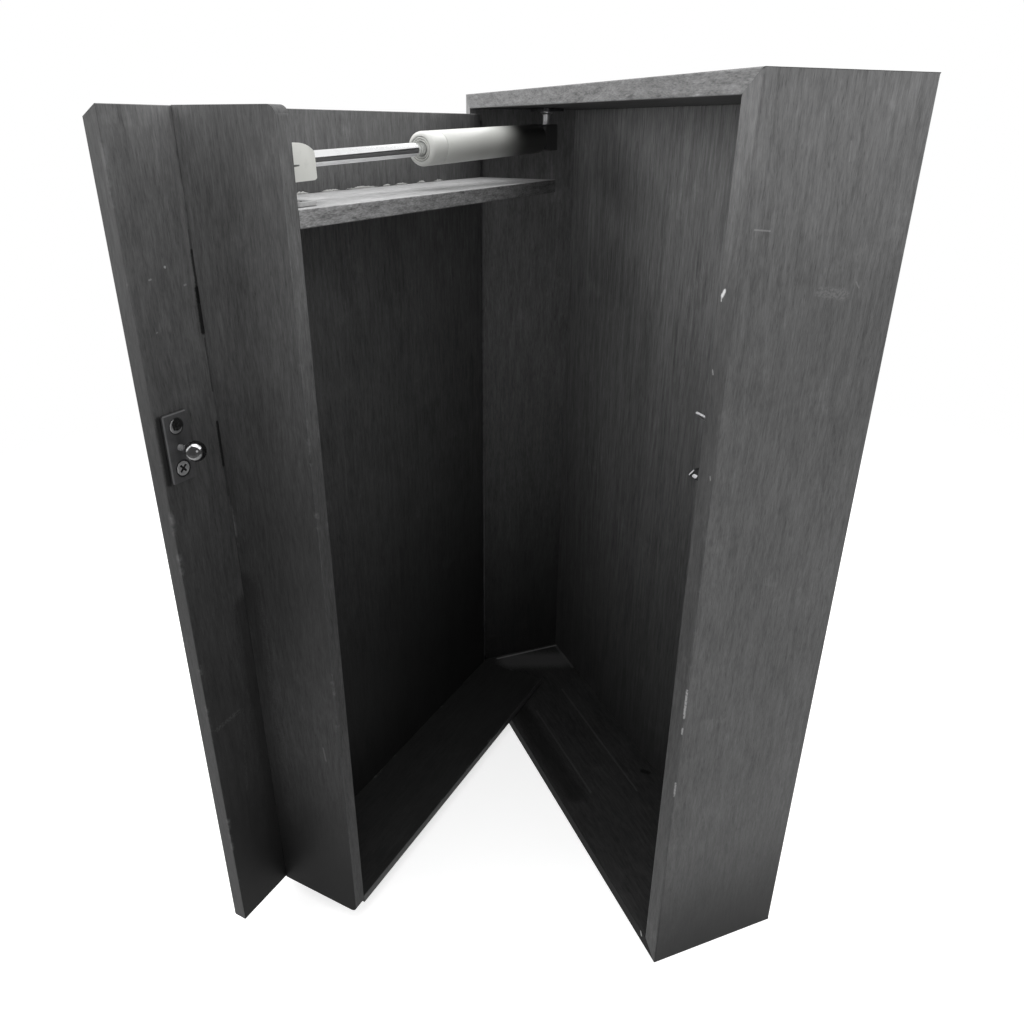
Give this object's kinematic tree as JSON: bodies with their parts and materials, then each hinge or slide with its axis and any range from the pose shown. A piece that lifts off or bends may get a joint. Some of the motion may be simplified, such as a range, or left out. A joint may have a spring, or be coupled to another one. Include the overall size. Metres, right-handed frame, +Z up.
{
  "type": "concealment shelf",
  "caption": "Shallow stained wooden box shelf whose open face is closed by a hinged tray with a hidden hollow, a gas strut and a ball catch.",
  "frame": {"origin": "middle of the lower end board's outer face, as the box stands on its end", "axes": "+Z up the shelf's length, +Y from the open rim into the box, +X from the hinge side to the front board"},
  "size_m": [0.327, 0.3182, 0.48],
  "materials": {
    "stained_wood": "black-stained, open grain, dull, with pale worn edges",
    "zinc_steel": "zinc-plated, satin",
    "dark_steel": "dark oxide, satin",
    "chrome": "polished",
    "white_plastic": "white, moulded or powder coated, semi-gloss",
    "black_rubber": "black, dull"
  },
  "bodies": {
    "box": {"box_top_end_board": "stained_wood", "box_bottom_end_board": "stained_wood", "box_front_board": "stained_wood", "box_hinge_side_board": "stained_wood", "box_wide_panel": "stained_wood", "hinge_box_leaf": "zinc_steel", "hinge_pin": "zinc_steel", "hinge_box_screw_1": "zinc_steel", "hinge_box_screw_2": "zinc_steel", "hinge_box_screw_3": "zinc_steel", "hinge_box_screw_4": "zinc_steel", "hinge_box_screw_5": "zinc_steel", "strut_box_plate": "dark_steel", "strut_box_ball_stud": "zinc_steel", "strut_box_screw_1": "dark_steel", "strut_box_screw_2": "dark_steel", "catch_body": "zinc_steel", "catch_pin_1": "zinc_steel", "catch_pin_2": "zinc_steel", "catch_screw_1": "zinc_steel", "catch_screw_2": "zinc_steel", "catch_upper_spring": "zinc_steel", "catch_lower_spring": "zinc_steel"},
    "tray": {"door_panel": "stained_wood", "tray_side_board": "stained_wood", "tray_cross_board": "stained_wood", "tray_bottom_board": "stained_wood", "hinge_tray_leaf": "zinc_steel", "hinge_tray_screw_1": "zinc_steel", "hinge_tray_screw_2": "zinc_steel", "hinge_tray_screw_3": "zinc_steel", "hinge_tray_screw_4": "zinc_steel", "hinge_tray_screw_5": "zinc_steel", "strut_tray_plate": "dark_steel", "strut_tray_ball_stud": "zinc_steel", "strut_tray_screw_1": "dark_steel", "strut_tray_screw_2": "dark_steel", "strike_plate": "dark_steel", "strike_ball_stud": "chrome", "strike_screw_1": "zinc_steel", "strike_screw_2": "zinc_steel"},
    "strut_cylinder": {"strut_box_socket": "white_plastic", "strut_end_plug": "zinc_steel", "strut_tube": "white_plastic", "strut_nose_cap": "white_plastic", "strut_rod_guide": "zinc_steel", "strut_rod_seal": "black_rubber"},
    "strut_plunger": {"strut_piston": "zinc_steel", "strut_rod": "chrome", "strut_tray_socket": "white_plastic"},
    "upper_jaw": {"catch_upper_jaw": "zinc_steel"},
    "lower_jaw": {"catch_lower_jaw": "zinc_steel"}
  },
  "joints": [
    {"name": "tray_hinge", "type": "hinge", "parent": "box", "child": "tray", "pos_m": [-0.1544, -0.0447, 0.24], "axis": [0, 0, -1], "range_deg": [-49.7, 0], "stiffness_Nm_per_rad": 0.5, "springref_deg": 49.85},
    {"name": "strut_swing", "type": "hinge", "parent": "box", "child": "strut_cylinder", "pos_m": [-0.1145, -0.0025, 0.453], "axis": [0, 0, -1], "range_deg": [-53.62, 0]},
    {"name": "strut_stroke", "type": "slide", "parent": "strut_cylinder", "child": "strut_plunger", "axis": [0.6236, -0.7812, -0.0296], "range_m": [-0.04626, 0]},
    {"name": "upper_jaw_hinge", "type": "hinge", "parent": "box", "child": "upper_jaw", "pos_m": [0.1398, -0.0136, 0.3322], "axis": [1, 0, 0], "range_deg": [0, 37.5], "stiffness_Nm_per_rad": 0.02, "springref_deg": -17.19},
    {"name": "lower_jaw_hinge", "type": "hinge", "parent": "box", "child": "lower_jaw", "pos_m": [0.1398, -0.0136, 0.3108], "axis": [-1, 0, 0], "range_deg": [0, 37.5], "stiffness_Nm_per_rad": 0.02, "springref_deg": -17.19}
  ],
  "couplings": [
    {"joint": "strut_swing", "follows": "tray_hinge", "ratio": 1.0788},
    {"joint": "strut_stroke", "follows": "tray_hinge", "m_per_rad": 0.053324}
  ]
}
